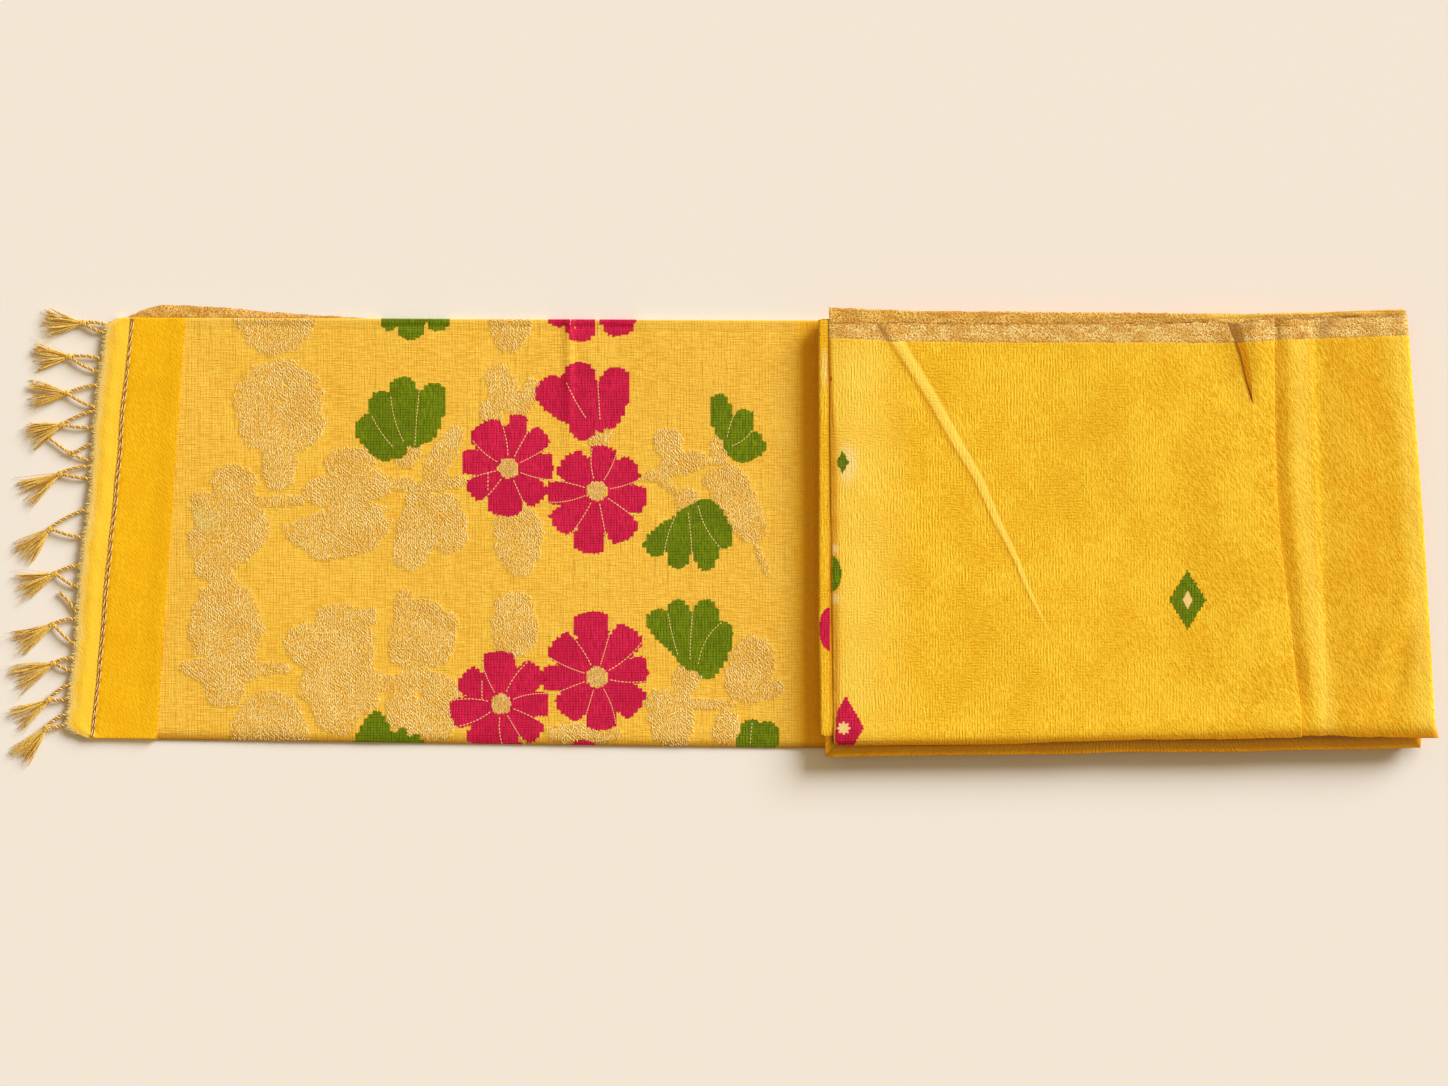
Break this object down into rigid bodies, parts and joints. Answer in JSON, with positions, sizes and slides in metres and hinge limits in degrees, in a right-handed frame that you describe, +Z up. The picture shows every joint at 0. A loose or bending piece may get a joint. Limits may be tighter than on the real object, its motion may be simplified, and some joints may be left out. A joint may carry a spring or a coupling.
{
  "type": "folded saree",
  "caption": "Saree folded into a flat packet, with its floral zari end piece laid out to one side and knotted tassels along the end.",
  "frame": {"origin": "on the surface that the saree lies on, under the middle of its bounding box", "axes": "+Z up, +X along its length from the tassels towards the packet, +Y across it towards the edge with the gold borders"},
  "size_m": [0.9506, 0.3065, 0.019],
  "materials": {
    "net_ground": "sheer silk and gold thread net",
    "satin_band": "satin weave",
    "body_cloth": "plain silk and cotton weave with a soft sheen",
    "folded_cloth": "plain silk and cotton weave, in shade",
    "zari_border": "gold thread brocade",
    "tassel_thread": "twisted gold silk thread"
  },
  "bodies": {
    "root": {"pallu_lower_plies": "folded_cloth", "pallu_net": "net_ground", "pallu_end_band": "satin_band", "pallu_selvedge": "zari_border", "packet_folds": "folded_cloth", "body_face": "body_cloth", "body_tail": "body_cloth", "border_face": "zari_border", "border_tail": "zari_border", "border_under": "zari_border", "tassel_01": "tassel_thread", "tassel_02": "tassel_thread", "tassel_03": "tassel_thread", "tassel_04": "tassel_thread", "tassel_05": "tassel_thread", "tassel_06": "tassel_thread", "tassel_07": "tassel_thread", "tassel_08": "tassel_thread", "tassel_09": "tassel_thread", "tassel_10": "tassel_thread", "tassel_11": "tassel_thread"}
  },
  "joints": []
}
